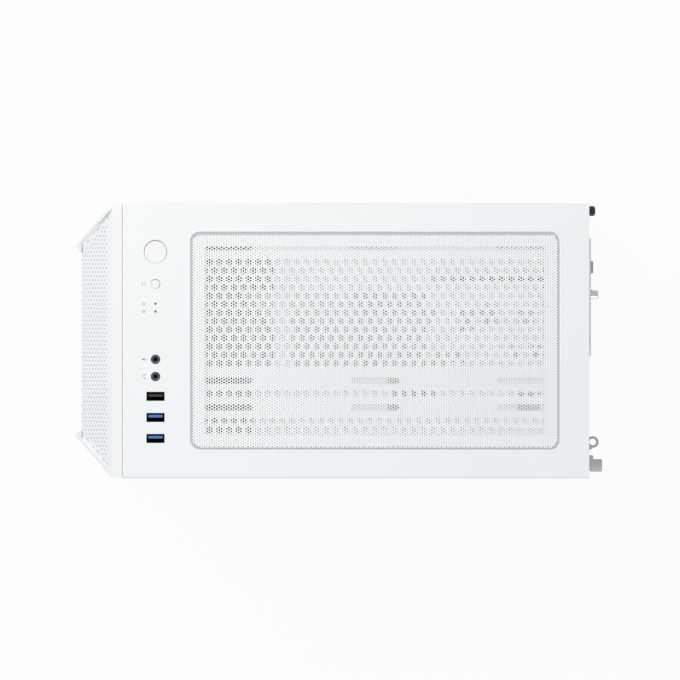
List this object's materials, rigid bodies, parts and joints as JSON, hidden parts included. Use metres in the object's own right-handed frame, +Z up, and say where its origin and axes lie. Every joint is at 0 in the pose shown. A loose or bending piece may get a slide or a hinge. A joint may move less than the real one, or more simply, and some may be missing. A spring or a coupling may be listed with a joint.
{
  "type": "desktop computer tower",
  "caption": "White mid-tower desktop computer with a mesh front, glass side window, perforated roof under a magnetic filter, control strip and fans that turn.",
  "frame": {"origin": "centre of the tower's bounding box, on the surface that it stands on", "axes": "+Z up, -X is the mesh front, +X is the rear with the connectors, +Y is the glass window side"},
  "size_m": [0.414, 0.215, 0.4608],
  "materials": {
    "white_steel": "white powder coat with a fine texture",
    "white_plastic": "white moulded plastic, matt",
    "rotor_plastic": "off-white moulded plastic, satin",
    "white_mesh": "fine white mesh",
    "magnet_band": "flat magnetic band, matt",
    "rubber": "grey rubber, matt",
    "window_glass": "clear tempered glass with a white border",
    "black_gloss": "glossy black",
    "white_knob": "white painted, fluted",
    "zinc_steel": "zinc plated",
    "polished_steel": "polished",
    "circuit_board": "dark solder mask",
    "clear_plastic": "translucent, unlit",
    "black_plastic": "black moulded plastic",
    "blue_plastic": "blue moulded plastic",
    "brass": "turned brass",
    "white_fins": "white coated aluminium",
    "nickel": "nickel plated copper",
    "aluminium": "bare aluminium",
    "cable_sleeve": "white braided sleeve"
  },
  "bodies": {
    "chassis": {"base_pan": "white_steel", "rear_wall": "white_steel", "motherboard_tray": "white_steel", "front_bracket": "white_steel", "top_cover": "white_steel", "psu_shroud": "white_steel", "slot_covers": "white_steel", "slot_clamp": "white_steel", "power_supply_case": "white_steel", "drive_cage": "white_steel", "feet": "white_plastic", "cooler_fan_frame": "white_plastic", "graphics_card_shroud": "white_plastic", "front_fan_frames": "white_plastic", "rear_fan_frame": "white_plastic", "memory_modules": "white_plastic", "rubber_pads": "rubber", "padlock_loop": "zinc_steel", "graphics_card_bracket": "zinc_steel", "rear_port_block": "zinc_steel", "slot_clamp_stud": "polished_steel", "io_board": "circuit_board", "motherboard": "circuit_board", "graphics_card_board": "circuit_board", "led_light_pipes": "clear_plastic", "audio_jacks": "black_plastic", "usb2_port": "black_plastic", "power_inlet": "black_plastic", "solid_state_drive": "black_plastic", "usb3_ports": "blue_plastic", "board_standoffs": "brass", "board_heatsinks": "white_fins", "cooler_fins": "white_fins", "cooler_heat_pipes": "nickel", "graphics_card_heatsink": "aluminium", "hard_drive": "aluminium", "internal_cables": "cable_sleeve"},
    "power_button": {"power_button": "white_plastic"},
    "reset_button": {"reset_button": "white_plastic"},
    "front_panel": {"front_frame": "white_plastic", "front_mesh": "white_mesh"},
    "top_filter": {"top_filter_frame": "magnet_band", "top_filter_mesh": "white_mesh"},
    "psu_filter": {"psu_filter": "white_mesh"},
    "window_panel": {"window_glass": "window_glass", "window_frame": "white_steel"},
    "tray_panel": {"tray_panel": "white_steel"},
    "window_screw_upper": {"window_screw_upper": "black_gloss"},
    "window_screw_lower": {"window_screw_lower": "black_gloss"},
    "tray_panel_screw_upper": {"tray_panel_screw_upper": "white_knob"},
    "tray_panel_screw_lower": {"tray_panel_screw_lower": "white_knob"},
    "slot_clamp_screw": {"slot_clamp_screw": "zinc_steel"},
    "cooler_fan_rotor": {"cooler_fan_rotor": "rotor_plastic"},
    "graphics_fan_rotor_1": {"graphics_fan_rotor_1": "rotor_plastic"},
    "graphics_fan_rotor_2": {"graphics_fan_rotor_2": "rotor_plastic"},
    "front_fan_rotor_1": {"front_fan_rotor_1": "rotor_plastic"},
    "front_fan_rotor_2": {"front_fan_rotor_2": "rotor_plastic"},
    "rear_fan_rotor": {"rear_fan_rotor": "rotor_plastic"},
    "psu_fan_rotor": {"psu_fan_rotor": "black_plastic"},
    "psu_switch": {"psu_switch": "black_plastic"}
  },
  "joints": [
    {"name": "power_button_press", "type": "slide", "parent": "chassis", "child": "power_button", "axis": [0, 0, -1], "range_m": [0, 0.0015], "stiffness_N_per_m": 200, "springref_m": -0.001},
    {"name": "reset_button_press", "type": "slide", "parent": "chassis", "child": "reset_button", "axis": [0, 0, -1], "range_m": [0, 0.001], "stiffness_N_per_m": 150, "springref_m": -0.001},
    {"name": "front_panel_pull", "type": "slide", "parent": "chassis", "child": "front_panel", "axis": [-1, 0, 0], "range_m": [0, 0.06]},
    {"name": "top_filter_lift", "type": "slide", "parent": "chassis", "child": "top_filter", "axis": [0, 0, 1], "range_m": [0, 0.05]},
    {"name": "psu_filter_pull", "type": "slide", "parent": "chassis", "child": "psu_filter", "axis": [1, 0, 0], "range_m": [0, 0.15]},
    {"name": "window_panel_lift_off", "type": "slide", "parent": "chassis", "child": "window_panel", "axis": [0, 1, 0], "range_m": [0, 0.12]},
    {"name": "tray_panel_lift_off", "type": "slide", "parent": "chassis", "child": "tray_panel", "axis": [0, -1, 0], "range_m": [0, 0.12]},
    {"name": "window_screw_upper_turn", "type": "hinge", "parent": "window_panel", "child": "window_screw_upper", "pos_m": [0.1947, 0.1022, 0.392], "axis": [1, 0, 0], "continuous": true},
    {"name": "window_screw_lower_turn", "type": "hinge", "parent": "window_panel", "child": "window_screw_lower", "pos_m": [0.1947, 0.1022, 0.084], "axis": [1, 0, 0], "continuous": true},
    {"name": "tray_panel_screw_upper_turn", "type": "hinge", "parent": "tray_panel", "child": "tray_panel_screw_upper", "pos_m": [0.1947, -0.098, 0.392], "axis": [1, 0, 0], "continuous": true},
    {"name": "tray_panel_screw_lower_turn", "type": "hinge", "parent": "tray_panel", "child": "tray_panel_screw_lower", "pos_m": [0.1947, -0.098, 0.084], "axis": [1, 0, 0], "continuous": true},
    {"name": "slot_clamp_screw_turn", "type": "hinge", "parent": "chassis", "child": "slot_clamp_screw", "pos_m": [0.1965, 0.059, 0.236], "axis": [1, 0, 0], "continuous": true},
    {"name": "cooler_fan_spin", "type": "hinge", "parent": "chassis", "child": "cooler_fan_rotor", "pos_m": [0.011, 0.017, 0.345], "axis": [1, 0, 0], "continuous": true},
    {"name": "graphics_fan_1_spin", "type": "hinge", "parent": "chassis", "child": "graphics_fan_rotor_1", "pos_m": [-0.017, -0.012, 0.19388], "axis": [0, 0, 1], "continuous": true},
    {"name": "graphics_fan_2_spin", "type": "hinge", "parent": "chassis", "child": "graphics_fan_rotor_2", "pos_m": [0.081, -0.012, 0.19388], "axis": [0, 0, 1], "continuous": true},
    {"name": "front_fan_1_spin", "type": "hinge", "parent": "chassis", "child": "front_fan_rotor_1", "pos_m": [-0.168, 0, 0.182], "axis": [1, 0, 0], "continuous": true},
    {"name": "front_fan_2_spin", "type": "hinge", "parent": "chassis", "child": "front_fan_rotor_2", "pos_m": [-0.168, 0, 0.324], "axis": [1, 0, 0], "continuous": true},
    {"name": "rear_fan_spin", "type": "hinge", "parent": "chassis", "child": "rear_fan_rotor", "pos_m": [0.1674, 0.034, 0.385], "axis": [1, 0, 0], "continuous": true},
    {"name": "psu_fan_spin", "type": "hinge", "parent": "chassis", "child": "psu_fan_rotor", "pos_m": [0.122, 0, 0.024], "axis": [0, 0, 1], "continuous": true},
    {"name": "psu_switch_rock", "type": "hinge", "parent": "chassis", "child": "psu_switch", "pos_m": [0.1898, -0.051, 0.047], "axis": [0, 1, 0], "range_deg": [0, 12]}
  ]
}
